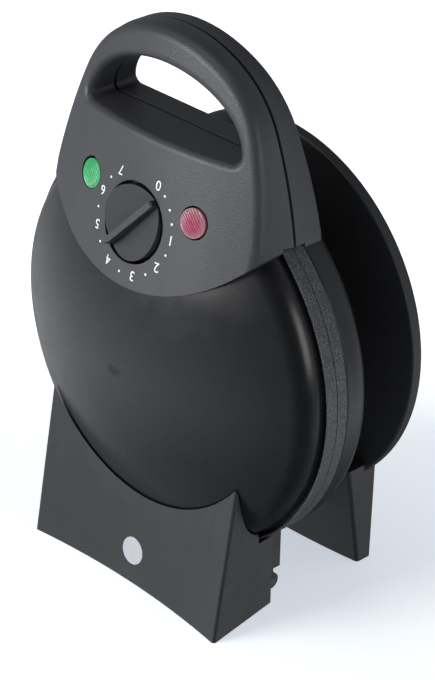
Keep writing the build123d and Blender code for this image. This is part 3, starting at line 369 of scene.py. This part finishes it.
def ribbed_cap(name, node, material):
    """Signal light cap: a crowned disc with slanting ribs, a rolled edge and a skirt."""
    low, high = (Vector(corner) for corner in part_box(node))
    middle = (low + high) / 2
    away = middle - dial_centre
    x0 = away.x
    y0 = away.dot(dial_up)
    bow = math.asin(x0 / panel_curve)
    right = (dial_right * math.cos(bow) - dial_out * math.sin(bow)).normalized()
    out = (dial_out * math.cos(bow) + dial_right * math.sin(bow)).normalized()
    centre = on_panel(x0, y0)
    mesh = bmesh.new()

    def height(x, y, share):
        crown = CAP_CROWN * (1 - share**2)
        fade = min(1.0, (1 - share) * 7)  # the ribs run out before the edge
        turn = ((x + y) / math.sqrt(2)) / RIB_PITCH
        return CAP_BASE + crown + fade * RIB_HEIGHT * abs(2 * (turn - math.floor(turn)) - 1)

    def point(x, y, level):
        return centre + right * x + dial_up * y + out * level

    hub = mesh.verts.new(point(0, 0, height(0, 0, 0)))
    spokes = [2 * math.pi * j / CAP_SPOKES for j in range(CAP_SPOKES)]
    circles = []
    for i in range(1, CAP_RINGS + 1):
        share = i / CAP_RINGS
        row = []
        for angle in spokes:
            x, y = CAP_RADIUS * share * math.cos(angle), CAP_RADIUS * share * math.sin(angle)
            row.append(mesh.verts.new(point(x, y, height(x, y, share))))
        circles.append(row)
    for level in (CAP_ROLL, CAP_SKIRT):
        row = []
        for angle in spokes:
            edge = point(CAP_RADIUS * math.cos(angle), CAP_RADIUS * math.sin(angle), level)
            row.append(mesh.verts.new(edge))
        circles.append(row)
    for j in range(CAP_SPOKES):
        mesh.faces.new((hub, circles[0][j], circles[0][(j + 1) % CAP_SPOKES]))
    for inner, outer in zip(circles, circles[1:]):
        for j in range(CAP_SPOKES):
            k = (j + 1) % CAP_SPOKES
            mesh.faces.new((inner[j], outer[j], outer[k], inner[k]))
    mesh.faces.new(circles[-1])
    bmesh.ops.recalc_face_normals(mesh, faces=mesh.faces)
    shape = bpy.data.meshes.new(name)
    mesh.to_mesh(shape)
    mesh.free()
    for face in shape.polygons:
        face.use_smooth = True
    cap = piece_from(name, shape, material, "lid")
    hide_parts(node)


ribbed_cap("green_light_cap", "green_lens", green)
ribbed_cap("red_light_cap", "red_lens", red)


# ---- floor, light and camera
# The floor's own light grows from its level in a painted shadow to 1 between these distances, in
# metres: a painted shadow, dimmer and blue-grey round the object, that goes white away from it.
PAINTED_SHADOW_GLOW = 0.60
PAINTED_SHADOW_NEAR, PAINTED_SHADOW_FAR = 0.17, 0.33
FLOOR_SIZE = 14


# Pale floor with a painted shadow round the object.
def floor_material():
    material, nodes, links, shader, place = links_of("floor")
    soft = noise(nodes, links, place, 1.5, 2)
    stops = [(0.3, (0.93, 0.92, 0.90)), (0.7, (0.95, 0.94, 0.92))]
    links.new(ramp(nodes, links, soft, stops), shader.inputs["Base Color"])
    shader.inputs["Roughness"].default_value = 0.6
    shader.inputs["Specular IOR Level"].default_value = 0.2
    # Blue-tinted glow, so that the painted shadow near the object is blue-grey.
    shader.inputs["Emission Color"].default_value = (0.84, 0.90, 1.0, 1)
    reach = nodes.new("ShaderNodeVectorMath")
    reach.operation = "LENGTH"
    links.new(place, reach.inputs[0])
    # Painted shadow: the floor's glow is lowest at its centre, under the object, and rises to full
    # further out.
    glow = spread(
        nodes, links, reach.outputs["Value"], PAINTED_SHADOW_GLOW, 1.0, PAINTED_SHADOW_NEAR, PAINTED_SHADOW_FAR
    )
    links.new(glow, shader.inputs["Emission Strength"])
    return material


bpy.ops.mesh.primitive_plane_add(size=FLOOR_SIZE, location=(0, 0, 0))
ground = bpy.context.object
ground.name = "floor"
ground.data.materials.append(floor_material())
ground.visible_glossy = False

# The room round the object: shares of light by compass bearing (0 is behind, half is in front,
# three quarters is to the right) and by height (0 is straight down).
ROOM = [
    (0.0, 0.20),
    (0.15, 0.35),
    (0.28, 0.85),
    (0.38, 1.0),
    (0.48, 0.7),
    (0.56, 0.2),
    (0.61, 0.0),
    (0.71, 0.0),
    (0.80, 0.6),
    (0.88, 1.0),
    (0.95, 0.6),
    (1.0, 0.20),
]
HEIGHT = [
    (0.0, 0.1),
    (0.12, 0.3),
    (0.25, 1.0),
    (0.35, 0.8),
    (0.425, 0.55),
    (0.55, 0.5),
    (1.0, 0.35),
]
ROOM_POWER = 1.1
world = bpy.data.worlds.new("studio")
bpy.context.scene.world = world
world.use_nodes = True
sky_nodes, sky_links = world.node_tree.nodes, world.node_tree.links
way = sky_nodes.new("ShaderNodeSeparateXYZ")
sky_links.new(sky_nodes.new("ShaderNodeTexCoord").outputs["Generated"], way.inputs["Vector"])
bearing = sky_nodes.new("ShaderNodeMath")
bearing.operation = "ARCTAN2"
sky_links.new(way.outputs["X"], bearing.inputs[0])
minus_y = sky_nodes.new("ShaderNodeMath")
minus_y.operation = "MULTIPLY"
minus_y.inputs[1].default_value = -1.0
sky_links.new(way.outputs["Y"], minus_y.inputs[0])
sky_links.new(minus_y.outputs["Value"], bearing.inputs[1])
round_share = spread(sky_nodes, sky_links, bearing.outputs["Value"], 0.0, 1.0, -math.pi, math.pi)
around = ramp(sky_nodes, sky_links, round_share, [(at, (v * 0.94, v * 0.97, v)) for at, v in ROOM])
height_share = spread(sky_nodes, sky_links, way.outputs["Z"], 0.0, 1.0, -1.0, 1.0)
level = ramp(sky_nodes, sky_links, height_share, [(at, (v, v, v)) for at, v in HEIGHT])
both = sky_nodes.new("ShaderNodeMix")
both.data_type = "RGBA"
both.blend_type = "MULTIPLY"
both.inputs["Factor"].default_value = 1.0
sky_links.new(around, both.inputs[MIX_FIRST])
sky_links.new(level, both.inputs[MIX_SECOND])
sky_links.new(both.outputs[MIX_OUT], sky_nodes["Background"].inputs["Color"])
sky_nodes["Background"].inputs["Strength"].default_value = ROOM_POWER


def soft_box(name, place, aim, width, height, power):
    """A rectangular area light, in metres and watts, turned to aim."""
    light = bpy.data.lights.new(name, "AREA")
    light.shape = "RECTANGLE"
    light.size, light.size_y = width, height
    light.energy = power
    lamp = bpy.data.objects.new(name, light)
    lamp.location = place
    lamp.rotation_euler = (Vector(aim) - Vector(place)).to_track_quat("-Z", "Y").to_euler()
    bpy.context.scene.collection.objects.link(lamp)


middle = Vector((0, split_y, axis_height))
soft_box("key", (-0.8, -2.0, 0.80), middle, 1.1, 0.9, 36)
soft_box("top", (-0.3, -0.6, 2.2), middle, 1.2, 1.2, 6)
soft_box("side", (1.9, -0.1, 0.55), middle, 0.6, 1.1, 7)

# The camera as fitted to the photo: its bearing, height and roll, how far it stands from the
# plates' centre and what it looks at, in units of the plate radius over 100.
unit = 0.00105
DISTANCE = 1139
AIM_OFFSET = (22.7, 0, 8.0)
LENS = 131.95
SENSOR = 36
turn, lift, roll = math.radians(46.3), math.radians(29.22), math.radians(1.22)
back = Vector((math.sin(turn) * math.cos(lift), -math.cos(turn) * math.cos(lift), math.sin(lift)))
side = Vector((math.cos(turn), math.sin(turn), 0))
rise = back.cross(side)
right = side * math.cos(roll) + rise * math.sin(roll)
up = rise * math.cos(roll) - side * math.sin(roll)
target = middle + Vector(AIM_OFFSET) * unit
eye = target + back * DISTANCE * unit
camera_data = bpy.data.cameras.new("camera")
camera_data.sensor_width = SENSOR
camera_data.lens = LENS
camera_data.clip_start = 0.01
camera = bpy.data.objects.new("camera", camera_data)
pose = Matrix((right, up, back)).transposed().to_4x4()
pose.translation = eye
camera.matrix_world = pose
bpy.context.scene.collection.objects.link(camera)
bpy.context.scene.camera = camera
bpy.context.scene.view_settings.view_transform = "Standard"
